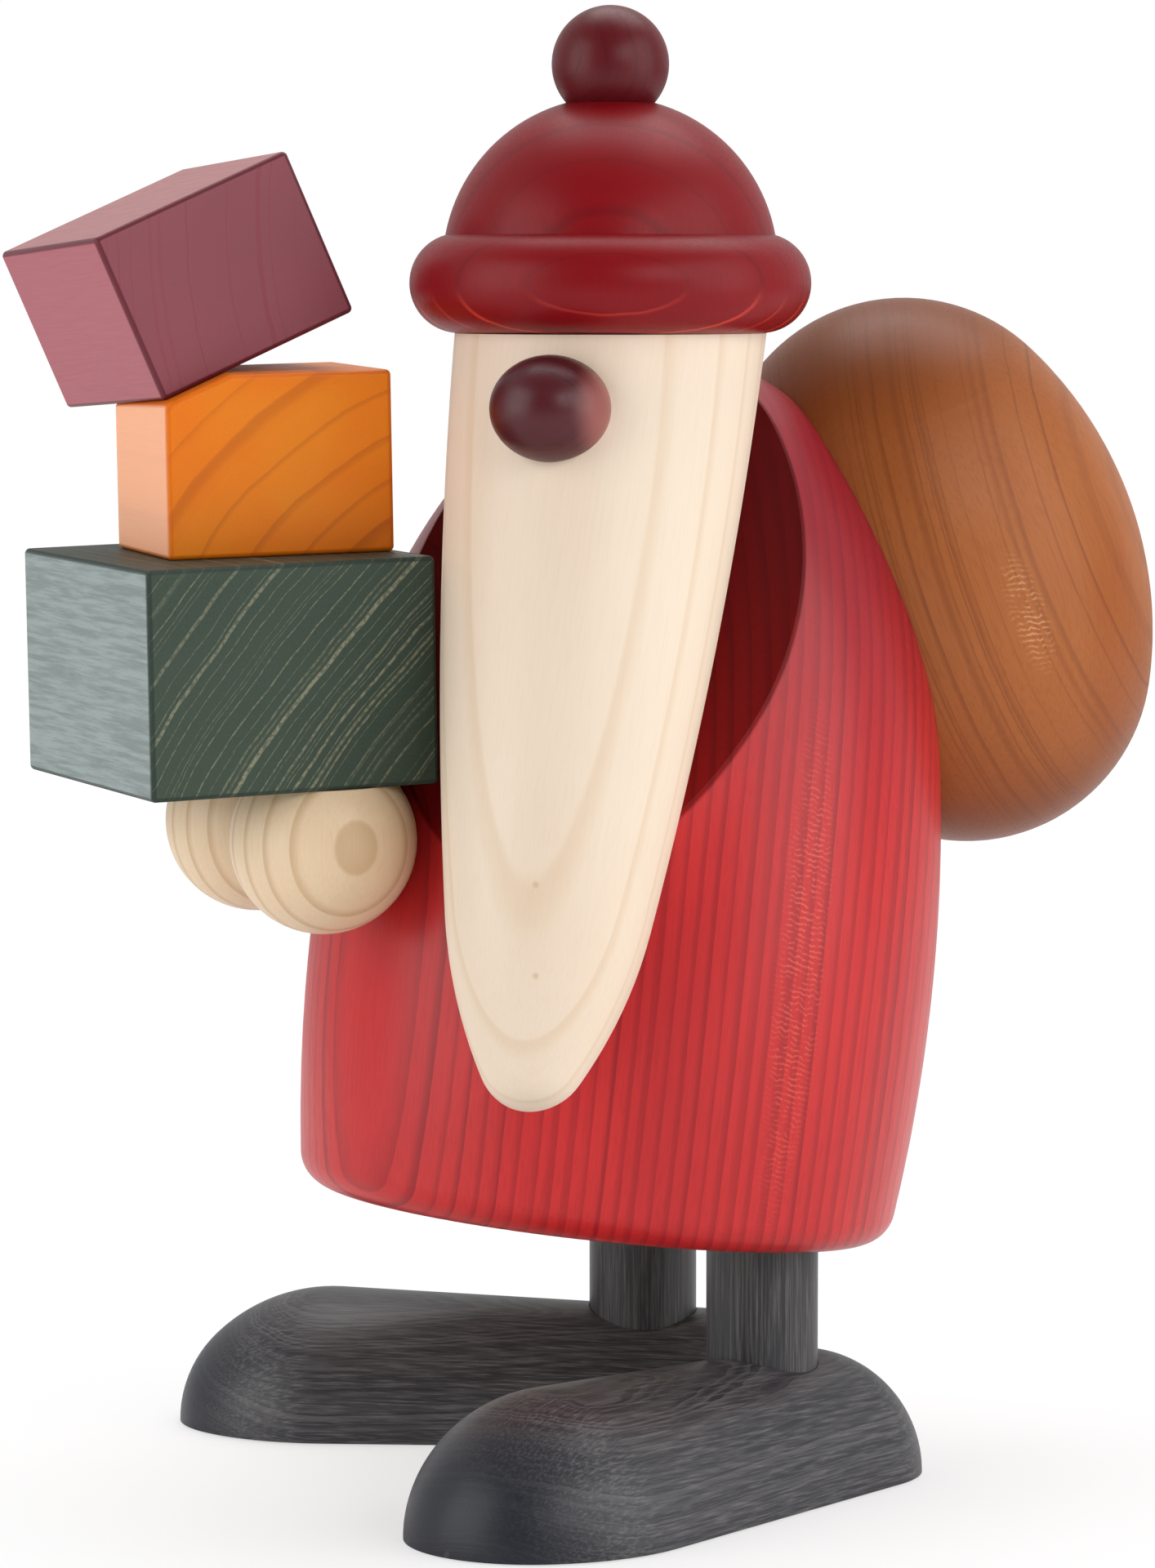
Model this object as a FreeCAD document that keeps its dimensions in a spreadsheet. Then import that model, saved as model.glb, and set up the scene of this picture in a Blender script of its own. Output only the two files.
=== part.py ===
import FreeCAD, Part
import math
import os
import Sketcher
from FreeCAD import Placement, Rotation, Vector

# Incense smoker figure: a turned, hollow wooden coat on two legs, with a bearded head under a
# rolled cap, a sack on the back and a stack of presents on the hands. Millimetres, +Z up.
# The presents point to -Y, the sack to +Y, and the face is turned from -Y towards +X.

DOC = FreeCAD.newDocument("incense_smoker")

# Driving sizes
SIZES = {
    # coat, turned on its own leaning axis, with its foot centre above the floor
    "coat_foot_height": 33.2,
    "coat_foot_aside": 0.0,
    "coat_foot_back": -3.5,
    "coat_lean_angle": 6.7,
    "coat_height": 113.0,
    "coat_crown_bend": 26.75,
    "coat_crown_turn_angle": 45.7,
    "coat_chest_bend": 70.1,
    "coat_chest_turn_angle": 80.9,
    "coat_side_bend": 222.0,
    "coat_edge_round": 4.6,
    # smoke chamber, bored from below, and the smoke hole behind the cap
    "chamber_radius": 25.0,
    "chamber_straight_height": 40.0,
    "chamber_top_radius": 6.0,
    "chamber_height": 92.0,
    "smoke_hole_radius": 4.0,
    "smoke_hole_behind_cap": 31.3,
    # plug that closes the coat from below and carries the legs
    "plug_radius": 33.4,
    "plug_thickness": 9.0,
    "plug_clearance": 0.35,
    "plug_chamfer": 0.8,
    "air_hole_radius": 2.5,
    "air_hole_place_radius": 17.5,
    # legs and shoes
    "leg_radius": 7.25,
    "leg_spacing": 39.4,
    "leg_back": 15.4,
    "leg_depth_in_plug": 6.0,
    "leg_depth_in_shoe": 7.0,
    "leg_clearance": 0.1,
    "shoe_length": 87.2,
    "shoe_heel_radius": 16.0,
    "shoe_toe_radius": 18.2,
    "shoe_toe_bend": 16.0,
    "shoe_toe_turn_angle": 45.0,
    "shoe_aside": 0.5,
    "shoe_heel_behind_leg": 23.9,
    "shoe_splay_angle": 28.5,
    # incense tray with its pin
    "tray_radius": 11.0,
    "tray_height": 3.2,
    "tray_wall": 0.6,
    "pin_radius": 1.0,
    "pin_head_radius": 2.2,
    "pin_head_height": 0.8,
    "pin_length": 7.0,
    "pin_clearance": 0.05,
    # slanting cut that gives the coat its flat face and the head its flat back
    "face_turn_angle": 49.5,
    "cut_slope_angle": 31.4,
    "cut_behind_cap": 24.5,
    # head with its long beard, turned to a blunt point
    "cap_seat_height": 148.7,
    "cap_reach": 29.0,
    "cap_aside": 1.7,
    "head_length": 100.6,
    "head_slope_angle": 19.3,
    "head_rise_above_seat": 4.0,
    "head_tip_bend": 6.85,
    "head_tip_turn_angle": 61.9,
    "head_beard_bend": 63.5,
    "head_beard_turn_angle": 81.3,
    "head_side_bend": 610.0,
    # nose
    "nose_half_width": 7.5,
    "nose_half_height": 6.6,
    "nose_drop": 9.0,
    "nose_ahead": 1.0,
    # cap with its rolled brim, and the bobble on top
    "brim_radius": 25.4,
    "brim_roll_radius": 6.3,
    "dome_radius": 21.2,
    "dome_centre_height": 8.5,
    "bobble_radius": 7.41,
    "bobble_seat_radius": 5.6,
    # hands
    "hand_radius": 11.85,
    "hand_flat_rise": 7.3,
    "hand_spacing": 25.0,
    "hand_ahead": 42.9,
    # presents
    "stack_aside": 1.2,
    "stack_ahead": 50.6,
    "stack_lean_angle": 1.6,
    "stack_turn_angle": 2.8,
    "stack_roll_angle": 1.3,
    "green_width": 43.7,
    "green_depth": 38.7,
    "green_height": 28.7,
    "green_foot_height": 92.3,
    "orange_width": 24.3,
    "orange_depth": 29.6,
    "orange_height": 23.0,
    "orange_front_height": 19.0,
    "orange_turn_angle": 5.8,
    "orange_aside": 1.3,
    "orange_back": 4.5,
    "red_width": 37.2,
    "red_depth": 28.2,
    "red_height": 22.1,
    "red_slope_angle": 22.2,
    "red_roll_angle": 2.1,
    "red_turn_angle": 5.5,
    "red_set_back": 0.3,
    "red_aside": 10.2,
    "present_edge_round": 0.7,
    # sack, turned like a blunt egg with two ends alike
    "sack_half_length": 37.3,
    "sack_radius": 27.6,
    "sack_end_bend": 24.6,
    "sack_slope_angle": 22.1,
    "sack_back": 49.3,
    "sack_height": 116.6,
    # dowels
    "dowel_radius": 3.0,
    "dowel_length": 14.0,
    "small_dowel_radius": 2.0,
    "small_dowel_length": 10.0,
    "dowel_clearance": 0.08,
    "dowel_end_clearance": 0.4,
    "upper_head_dowel_drop": 38.0,
    "lower_head_dowel_drop": 54.0,
    # one overrun for every cut
    "overrun": 60.0,
}


def fill_sheet():
    """Put every driving size in a sheet, one cell each, under its own name."""
    sheet = DOC.addObject("Spreadsheet::Sheet", "size")
    for row, (name, number) in enumerate(SIZES.items(), start=1):
        sheet.set(f"A{row}", name)
        sheet.set(f"B{row}", str(number))
        sheet.setAlias(f"B{row}", name)
    DOC.recompute()
    return sheet


SHEET = fill_sheet()


def size(name):
    """The number in the cell of this name."""
    return float(SHEET.get(name))


# Directions and frames


def along(direction):
    """The turn that points the local Z axis along a direction."""
    return Rotation(Vector(0, 0, 1), direction)


def turned_about(axis, angle):
    """A turn about an axis by an angle in degrees."""
    return Rotation(axis, angle)


def shifted(x, y, z):
    """A frame moved without a turn."""
    return Placement(Vector(x, y, z), Rotation())


X_AXIS = Vector(1, 0, 0)
Y_AXIS = Vector(0, 1, 0)
Z_AXIS = Vector(0, 0, 1)

# The coat's frame stands at the middle of its foot and leans back with it
COAT_FRAME = Placement(
    Vector(size("coat_foot_aside"), size("coat_foot_back"), size("coat_foot_height")),
    turned_about(X_AXIS, -size("coat_lean_angle")),
)


def coat_axis_at(height):
    """The point of the coat's axis at a height above the floor."""
    foot = COAT_FRAME.Base
    axis = COAT_FRAME.Rotation.multVec(Z_AXIS)
    return foot + axis * ((height - foot.z) / axis.z)


# The face looks this way, level, and its left side is across it
FACE_TURN = turned_about(Z_AXIS, size("face_turn_angle"))
FACE_AHEAD = FACE_TURN.multVec(-Y_AXIS)
FACE_ASIDE = FACE_TURN.multVec(X_AXIS)

# The cap stands upright over the point where the head carries it
CAP_POINT = (
    coat_axis_at(size("cap_seat_height"))
    + FACE_AHEAD * size("cap_reach")
    - FACE_ASIDE * size("cap_aside")
)

# The head's frame hangs from the same point, and its axis swings forward at the beard
HEAD_FRAME = Placement(CAP_POINT, turned_about(FACE_ASIDE, -size("head_slope_angle")))

# The slanting cut passes behind the cap's axis and runs forward as it goes down.
# Its frame has local Z square to the cut, pointing out of the coat.
CUT_POINT = CAP_POINT - FACE_AHEAD * size("cut_behind_cap")
CUT_TURN = turned_about(FACE_ASIDE, -size("cut_slope_angle"))
CUT_NORMAL = CUT_TURN.multVec(FACE_AHEAD)
CUT_DOWN = CUT_TURN.multVec(-Z_AXIS)


# Sketches and turned forms

# Two places closer than this are one
SAME_PLACE = 1e-6


def value_of(entry):
    """A coordinate is a size's name, that name with a minus sign, or a worked out number."""
    if isinstance(entry, str):
        if entry.startswith("-"):
            return -size(entry[1:])
        return size(entry)
    return float(entry)


def expression_of(entry):
    """The sheet expression of a coordinate that is a size's name."""
    if entry.startswith("-"):
        return "-size." + entry[1:]
    return "size." + entry


def point_of(corner):
    """A corner's place in its sketch."""
    return Vector(value_of(corner[0]), value_of(corner[1]), 0)


def hold(sketch, edge, end, corner):
    """Hold one end of an edge at its corner, bound to the sheet where it is a named size."""
    for kind, axis, entry in (("DistanceX", -2, corner[0]), ("DistanceY", -1, corner[1])):
        if not isinstance(entry, str) and entry == 0:
            sketch.addConstraint(Sketcher.Constraint("PointOnObject", edge, end, axis))
            continue
        rule = Sketcher.Constraint(kind, -1, 1, edge, end, value_of(entry))
        index = sketch.addConstraint(rule)
        if isinstance(entry, str):
            name = f"{kind}_{edge}"
            sketch.renameConstraint(index, name)
            sketch.setExpression("Constraints." + name, expression_of(entry))


def outline(body, label, plane, start, steps):
    """Draw a closed outline on an origin plane; a dome is an arc with its centre on the axis."""
    sketch = body.newObject("Sketcher::SketchObject", label)
    for feature in body.Origin.OriginFeatures:
        if feature.Role == plane:
            sketch.AttachmentSupport = (feature, [""])
    sketch.MapMode = "FlatFace"
    here = start
    edges = []
    for step in steps:
        corners = step[1:]
        points = [point_of(here)] + [point_of(corner) for corner in corners]
        if step[0] == "line":
            shape = Part.LineSegment(points[0], points[1])
        else:
            shape = Part.Arc(points[0], points[1], points[2])
        edges.append((sketch.addGeometry(shape), step[0]))
        here = corners[-1]
    here = start
    for index, (edge, kind) in enumerate(edges):
        first, last = 1, 2
        if kind != "line" and is_turned_back(sketch, edge, point_of(here)):
            first, last = 2, 1
        hold(sketch, edge, first, here)
        if kind == "dome":
            sketch.addConstraint(Sketcher.Constraint("PointOnObject", edge, 3, -2))
        here = steps[index][-1]
        edges[index] = (edge, first, last)
    for (edge, first, last), following in zip(edges, edges[1:] + edges[:1]):
        sketch.addConstraint(
            Sketcher.Constraint("Coincident", edge, last, following[0], following[1])
        )
    return sketch


def is_turned_back(sketch, edge, corner):
    """True where a sketch keeps an arc the other way round, so its ends are swapped."""
    first = sketch.getPoint(edge, 1)
    last = sketch.getPoint(edge, 2)
    return first.distanceToPoint(corner) > last.distanceToPoint(corner)


def smooth_side(pole, rise, bends, turns, level):
    """Arcs from a pole on the axis to a level, each running on smoothly from the one before.

    Each arc has a bend radius and ends at a turn from the axis, the last one at the level.
    rise is 1 where the pole is the top of the form and -1 where it is its lowest point.
    """
    centre = Vector(0, pole - rise * bends[0], 0)
    start_turn = 0
    steps = []
    for index, bend in enumerate(bends):
        if index < len(turns):
            end_turn = math.radians(turns[index])
        else:
            end_turn = math.acos(rise * (level - centre.y) / bend)
        middle_turn = (start_turn + end_turn) / 2
        middle = centre + Vector(math.sin(middle_turn), rise * math.cos(middle_turn), 0) * bend
        outward = Vector(math.sin(end_turn), rise * math.cos(end_turn), 0)
        end = centre + outward * bend
        kind = "arc" if index else "dome"
        steps.append((kind, (middle.x, middle.y), (end.x, end.y)))
        start_turn = end_turn
        if index + 1 < len(bends):
            centre = centre + outward * (bend - bends[index + 1])
    return steps


def turned(label, plane, axis, start, steps, angle=360):
    """A body turned from an outline about one of its sketch's axes."""
    body = DOC.addObject("PartDesign::Body", label)
    sketch = outline(body, label + "_outline", plane, start, steps)
    DOC.recompute()
    feature = body.newObject("PartDesign::Revolution", label + "_turning")
    feature.Profile = sketch
    feature.ReferenceAxis = (sketch, [axis])
    feature.Angle = angle
    DOC.recompute()
    return body


# Joining, drilling and cutting


def rounded(body, radius, chosen):
    """Round the edges of a body's last feature that the chooser picks."""
    base = body.Tip
    names = [
        f"Edge{index}"
        for index, edge in enumerate(base.Shape.Edges, start=1)
        if chosen(edge)
    ]
    feature = body.newObject("PartDesign::Fillet", body.Label + "_rounding")
    feature.Base = (base, names)
    feature.setExpression("Radius", "size." + radius)
    DOC.recompute()


def bar(label, radius, length, place):
    """A round bar centred on a place, its radius and length given as sheet expressions."""
    solid = DOC.addObject("Part::Cylinder", label)
    solid.setExpression("Radius", radius)
    solid.setExpression("Height", length)
    DOC.recompute()
    solid.Placement = place.multiply(shifted(0, 0, -solid.Height.Value / 2))
    return solid


def drill(label, radius, length, place):
    """The hole for a dowel, wider by its clearance and longer by the room at each end."""
    return bar(
        label + "_drill",
        f"size.{radius} + size.dowel_clearance",
        f"size.{length} + 2 * size.dowel_end_clearance",
        place,
    )


def dowel(label, radius, length, place):
    """A dowel centred on the joint face of two pieces."""
    solid = bar(label, f"size.{radius}", f"size.{length}", place)
    return solid, drill(label, radius, length, place)


def cut_away(label, base, tools):
    """The base with every tool cut out of it."""
    tool = tools[0]
    if len(tools) > 1:
        tool = DOC.addObject("Part::MultiFuse", label + "_tools")
        tool.Shapes = tools
    result = DOC.addObject("Part::Cut", label)
    result.Base = base
    result.Tool = tool
    DOC.recompute()
    return result


def waste_block(label, place):
    """A block of waste whose underside lies on a plane, for cutting along that plane."""
    block = DOC.addObject("Part::Box", label)
    block.setExpression("Length", "4 * size.overrun")
    block.setExpression("Width", "4 * size.overrun")
    block.setExpression("Height", "2 * size.overrun")
    reach = -2 * size("overrun")
    block.Placement = place.multiply(shifted(reach, reach, 0))
    return block


# Coat


def coat_form():
    """The whole egg of the coat as it comes off the lathe, solid."""
    side = smooth_side(
        size("coat_height"),
        1,
        [size("coat_crown_bend"), size("coat_chest_bend"), size("coat_side_bend")],
        [size("coat_crown_turn_angle"), size("coat_chest_turn_angle")],
        0,
    )
    foot = side[-1][-1][0]
    body = turned(
        "coat_form",
        "YZ_Plane",
        "V_Axis",
        (0, "coat_height"),
        [*side, ("line", (0, 0)), ("line", (0, "coat_height"))],
    )
    rounded(body, "coat_edge_round", lambda edge: is_ring(edge, foot, 0))
    body.Placement = COAT_FRAME
    return body


def is_ring(edge, radius, height):
    """True for a round edge about the Z axis with this radius and height."""
    if edge.Degenerated:
        return False
    curve = edge.Curve
    if not isinstance(curve, Part.Circle):
        return False
    on_height = math.isclose(curve.Center.z, height, abs_tol=SAME_PLACE)
    return on_height and math.isclose(curve.Radius, radius, abs_tol=SAME_PLACE)


def chamber_form():
    """The hollow of the coat: a recess for the plug, then the smoke chamber and its taper."""
    recess = size("plug_radius") + size("plug_clearance")
    body = turned(
        "chamber_form",
        "XZ_Plane",
        "V_Axis",
        (0, "-overrun"),
        [
            ("line", (recess, "-overrun")),
            ("line", (recess, "plug_thickness")),
            ("line", ("chamber_radius", "plug_thickness")),
            ("line", ("chamber_radius", "chamber_straight_height")),
            ("line", ("chamber_top_radius", "chamber_height")),
            ("line", (0, "chamber_height")),
            ("line", (0, "-overrun")),
        ],
    )
    body.Placement = COAT_FRAME
    return body


def smoke_hole():
    """The upright hole that lets the smoke out behind the cap, from the chamber's taper up."""
    foot = CAP_POINT - FACE_AHEAD * size("smoke_hole_behind_cap")
    hole = DOC.addObject("Part::Cylinder", "smoke_hole")
    hole.setExpression("Radius", "size.smoke_hole_radius")
    hole.setExpression("Height", "size.overrun + size.chamber_radius")
    hole.Placement = Placement(foot - Z_AXIS * size("overrun"), Rotation())
    return hole


def face_waste():
    """What the slanting cut takes off the coat's front."""
    return waste_block("face_waste", Placement(CUT_POINT, along(CUT_NORMAL)))


# Base: plug, legs, shoes, incense tray and its pin


def leg_place(side):
    """The middle of a leg's foot on the floor; side is 1 for the left leg, -1 for the right."""
    foot = COAT_FRAME.Base
    return Vector(foot.x + side * size("leg_spacing") / 2, foot.y + size("leg_back"), 0)


def plug_underside_at(x, y):
    """The height of the plug's underside above a place on the floor."""
    foot = COAT_FRAME.Base
    normal = COAT_FRAME.Rotation.multVec(Z_AXIS)
    return foot.z - ((x - foot.x) * normal.x + (y - foot.y) * normal.y) / normal.z


def shoe_side():
    """The straight side line of a shoe's outline, as its slope, and where it leaves the heel.

    Distances run along the shoe's axis from the leg, positive to the toe.
    """
    heel = size("shoe_heel_radius")
    toe = size("shoe_toe_radius")
    heel_centre = heel - size("shoe_heel_behind_leg")
    toe_centre = size("shoe_length") - size("shoe_heel_behind_leg") - toe
    slope = math.asin((toe - heel) / (toe_centre - heel_centre))
    return slope, heel_centre


def shoe_top_at_leg():
    """The height of a shoe's back under its leg, where its side line runs up to the toe."""
    slope, heel_centre = shoe_side()
    return size("shoe_heel_radius") / math.cos(slope) - heel_centre * math.tan(slope)


def leg(label, side):
    """A straight round leg, let into the shoe below and the plug above."""
    foot = leg_place(side)
    low = shoe_top_at_leg() - size("leg_depth_in_shoe")
    high = plug_underside_at(foot.x, foot.y) + size("leg_depth_in_plug")
    solid = DOC.addObject("Part::Cylinder", label)
    solid.setExpression("Radius", "size.leg_radius")
    solid.Height = high - low
    solid.Placement = shifted(foot.x, foot.y, low)
    hole = DOC.addObject("Part::Cylinder", label + "_drill")
    hole.setExpression("Radius", "size.leg_radius + size.leg_clearance")
    hole.Height = high - low
    hole.Placement = solid.Placement
    return solid, hole


def shoe_outline():
    """Half of the shoe seen from above: a round heel, a straight side and a long round toe."""
    heel = size("shoe_heel_radius")
    tip_bend = size("shoe_toe_bend")
    back = -size("shoe_heel_behind_leg")
    front = back + size("shoe_length")
    slope, heel_centre = shoe_side()
    square = Vector(-math.sin(slope), math.cos(slope), 0)
    heel_bend = (math.pi / 2 + slope) / 2
    toe_turn = math.radians(size("shoe_toe_turn_angle"))
    outward = Vector(math.cos(toe_turn), math.sin(toe_turn), 0)
    tip_centre = Vector(front - tip_bend, 0, 0)
    # the second toe arc touches the tip's arc at the turn and the side line where it ends
    to_side = heel - (tip_centre - Vector(heel_centre, 0, 0)).dot(square)
    share = outward.dot(square)
    shoulder_bend = (to_side - tip_bend * share) / (1 - share)
    shoulder_centre = tip_centre + outward * (tip_bend - shoulder_bend)
    heel_end = Vector(heel_centre, 0, 0) + square * heel
    side_end = shoulder_centre + square * shoulder_bend
    shoulder_middle = shoulder_centre + (outward + square).normalize() * shoulder_bend
    tip_start = tip_centre + outward * tip_bend
    return [
        (
            "arc",
            (heel_centre - heel * math.cos(heel_bend), heel * math.sin(heel_bend)),
            (heel_end.x, heel_end.y),
        ),
        ("line", (side_end.x, side_end.y)),
        ("arc", (shoulder_middle.x, shoulder_middle.y), (tip_start.x, tip_start.y)),
        (
            "arc",
            (
                tip_centre.x + tip_bend * math.cos(toe_turn / 2),
                tip_bend * math.sin(toe_turn / 2),
            ),
            (front, 0),
        ),
        ("line", (back, 0)),
    ]


def shoe(label, side, leg_hole):
    """Half of a long turned form, blunt at heel and toe, drilled for its leg."""
    back = -size("shoe_heel_behind_leg")
    half = turned(
        label + "_half", "XY_Plane", "H_Axis", (back, 0), shoe_outline(), angle=180
    )
    toe_turn = turned_about(Z_AXIS, -90 + side * size("shoe_splay_angle"))
    place = leg_place(side) + X_AXIS * (side * size("shoe_aside"))
    half.Placement = Placement(place, toe_turn)
    return cut_away(label, half, [leg_hole])


def base_plug(tools):
    """A turned disc with a chamfered upper rim, drilled for the legs, the pin and the air."""
    radius = size("plug_radius")
    thick = size("plug_thickness")
    chamfer = size("plug_chamfer")
    disc = turned(
        "plug_disc",
        "XZ_Plane",
        "V_Axis",
        (0, 0),
        [
            ("line", ("plug_radius", 0)),
            ("line", ("plug_radius", thick - chamfer)),
            ("line", (radius - chamfer, "plug_thickness")),
            ("line", (0, "plug_thickness")),
            ("line", (0, 0)),
        ],
    )
    disc.Placement = COAT_FRAME
    return cut_away("base_plug", disc, tools)


def air_hole(label, side):
    """A draught hole through the plug, beside the tray."""
    hole = DOC.addObject("Part::Cylinder", label)
    hole.setExpression("Radius", "size.air_hole_radius")
    hole.setExpression("Height", "2 * size.overrun")
    aside = side * size("air_hole_place_radius")
    hole.Placement = COAT_FRAME.multiply(shifted(0, aside, -size("overrun")))
    return hole


def incense_tray():
    """A shallow metal dish with a pin hole, standing on the plug in the chamber."""
    wall = size("tray_wall")
    rim = size("tray_radius")
    hole = size("pin_radius") + size("pin_clearance")
    tray = turned(
        "incense_tray",
        "XZ_Plane",
        "V_Axis",
        (hole, 0),
        [
            ("line", (rim - wall, 0)),
            ("line", ("tray_radius", wall)),
            ("line", ("tray_radius", "tray_height")),
            ("line", (rim - wall, "tray_height")),
            ("line", (rim - wall, 2 * wall)),
            ("line", (rim - 2 * wall, "tray_wall")),
            ("line", (hole, "tray_wall")),
            ("line", (hole, 0)),
        ],
    )
    tray.Placement = COAT_FRAME.multiply(shifted(0, 0, size("plug_thickness")))
    return tray


def tray_pin():
    """A round-headed pin through the tray into the plug."""
    head = size("pin_head_height")
    rim = size("pin_head_radius")
    dome = (rim**2 + head**2) / (2 * head)
    middle = math.asin(rim / dome) / 2
    pin = turned(
        "tray_pin",
        "XZ_Plane",
        "V_Axis",
        (0, "-pin_length"),
        [
            ("line", ("pin_radius", "-pin_length")),
            ("line", ("pin_radius", 0)),
            ("line", ("pin_head_radius", 0)),
            (
                "dome",
                (dome * math.sin(middle), head - dome + dome * math.cos(middle)),
                (0, "pin_head_height"),
            ),
            ("line", (0, "-pin_length")),
        ],
    )
    top = size("plug_thickness") + size("tray_wall")
    pin.Placement = COAT_FRAME.multiply(shifted(0, 0, top))
    hole = DOC.addObject("Part::Cylinder", "tray_pin_drill")
    hole.setExpression("Radius", "size.pin_radius + size.pin_clearance")
    hole.setExpression("Height", "2 * size.pin_length")
    hole.Placement = COAT_FRAME.multiply(shifted(0, 0, top - size("pin_length")))
    return pin, hole


# Head, nose, cap and bobble


def head_form():
    """The head and beard as one long turned form that tapers to a blunt tip."""
    rise = size("head_rise_above_seat")
    side = smooth_side(
        -size("head_length"),
        -1,
        [size("head_tip_bend"), size("head_beard_bend"), size("head_side_bend")],
        [size("head_tip_turn_angle"), size("head_beard_turn_angle")],
        rise,
    )
    form = turned(
        "head_form",
        "XZ_Plane",
        "V_Axis",
        (0, "-head_length"),
        [*side, ("line", (0, rise)), ("line", (0, "-head_length"))],
    )
    form.Placement = HEAD_FRAME
    return form


def nose_form(surface):
    """A turned bead, wider than it is high, half let into the face."""
    bead = DOC.addObject("Part::Ellipsoid", "nose_bead")
    bead.setExpression("Radius1", "size.nose_half_height")
    bead.setExpression("Radius2", "size.nose_half_width")
    bead.setExpression("Radius3", "size.nose_half_width")
    bead.Placement = Placement(surface + FACE_AHEAD * size("nose_ahead"), FACE_TURN)
    return bead


def circles_crossing(first, first_radius, second, second_radius):
    """The upper crossing of two circles, each given by its centre and radius."""
    between = second - first
    gap = between.Length
    foot = (gap**2 + first_radius**2 - second_radius**2) / (2 * gap)
    rise = math.sqrt(first_radius**2 - foot**2)
    middle = first + between * (foot / gap)
    upward = Vector(-between.y, between.x, 0) / gap
    return middle + upward * rise


def cap_dome_top():
    """The height of the flat on the dome that the bobble stands on, above the cap's seat."""
    rise = math.sqrt(size("dome_radius") ** 2 - size("bobble_seat_radius") ** 2)
    return size("dome_centre_height") + rise


def cap_form():
    """A domed cap with a fat rolled brim, turned in one piece, with a sharp groove between."""
    roll = size("brim_roll_radius")
    roll_centre = Vector(size("brim_radius") - roll, roll, 0)
    dome = size("dome_radius")
    dome_centre = Vector(0, size("dome_centre_height"), 0)
    groove = circles_crossing(dome_centre, dome, roll_centre, roll)
    top = cap_dome_top()
    low_turn = math.asin((groove.y - dome_centre.y) / dome)
    high_turn = math.acos(size("bobble_seat_radius") / dome)
    middle = (low_turn + high_turn) / 2
    form = turned(
        "cap_form",
        "XZ_Plane",
        "V_Axis",
        (0, 0),
        [
            ("line", (roll_centre.x, 0)),
            ("arc", ("brim_radius", "brim_roll_radius"), (groove.x, groove.y)),
            (
                "arc",
                (dome * math.cos(middle), dome_centre.y + dome * math.sin(middle)),
                ("bobble_seat_radius", top),
            ),
            ("line", (0, top)),
            ("line", (0, 0)),
        ],
    )
    form.Placement = Placement(CAP_POINT, FACE_TURN)
    return form


def ball(label, radius, flat_height, place):
    """A turned ball with a flat at a height above its centre, or below it where negative."""
    full = size(radius)
    flat = math.sqrt(full**2 - flat_height**2)
    pole = -full if flat_height > 0 else full
    edge_turn = math.asin(flat_height / full)
    middle = (edge_turn + math.copysign(math.pi / 2, pole)) / 2
    form = turned(
        label,
        "XZ_Plane",
        "V_Axis",
        (0, pole),
        [
            ("arc", (full * math.cos(middle), full * math.sin(middle)), (flat, flat_height)),
            ("line", (0, flat_height)),
            ("line", (0, pole)),
        ],
    )
    form.Placement = place
    return form


# Hands, presents and sack

# The stack of presents has a frame of its own, at the middle of the green one's underside
STACK_FRAME = Placement(
    COAT_FRAME.Base
    + Vector(size("stack_aside"), -size("stack_ahead"), 0)
    + Z_AXIS * (size("green_foot_height") - size("coat_foot_height")),
    turned_about(Z_AXIS, size("stack_turn_angle"))
    .multiply(turned_about(X_AXIS, size("stack_lean_angle")))
    .multiply(turned_about(Y_AXIS, size("stack_roll_angle"))),
)

# The middle of the orange present's underside, on top of the green one
ORANGE_FRAME = STACK_FRAME.multiply(
    Placement(
        Vector(-size("orange_aside"), size("orange_back"), size("green_height")),
        turned_about(Z_AXIS, -size("orange_turn_angle")),
    )
)

# The slanting facet on the orange present, where the red one lies, and the red one's turn on it
FACET_FRAME = ORANGE_FRAME.multiply(
    Placement(
        Vector(0, -size("orange_depth") / 2, size("orange_front_height")),
        turned_about(X_AXIS, size("red_slope_angle")).multiply(
            turned_about(Y_AXIS, -size("red_roll_angle"))
        ),
    )
)
RED_TURN = turned_about(Z_AXIS, size("red_turn_angle"))


def hand_centre(side):
    """The middle of a hand's ball, under the green present."""
    foot = COAT_FRAME.Base
    aside = size("stack_aside") + side * size("hand_spacing") / 2
    floor_place = Vector(foot.x + aside, foot.y - size("hand_ahead"), 0)
    normal = STACK_FRAME.Rotation.multVec(Z_AXIS)
    run = floor_place - STACK_FRAME.Base
    height = -(run.x * normal.x + run.y * normal.y) / normal.z + STACK_FRAME.Base.z
    return Vector(floor_place.x, floor_place.y, height) - normal * size("hand_flat_rise")


def block(label, name, place):
    """A sawn block standing on a place at the middle of its underside."""
    solid = DOC.addObject("Part::Box", label)
    solid.setExpression("Length", f"size.{name}_width")
    solid.setExpression("Width", f"size.{name}_depth")
    solid.setExpression("Height", f"size.{name}_height")
    corner = shifted(-size(f"{name}_width") / 2, -size(f"{name}_depth") / 2, 0)
    solid.Placement = place.multiply(corner)
    return solid


def softened(label, base):
    """The base with every edge slightly rounded."""
    DOC.recompute()
    radius = size("present_edge_round")
    result = DOC.addObject("Part::Fillet", label)
    result.Base = base
    result.Edges = [(index, radius, radius) for index in range(1, len(base.Shape.Edges) + 1)]
    DOC.recompute()
    return result


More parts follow.
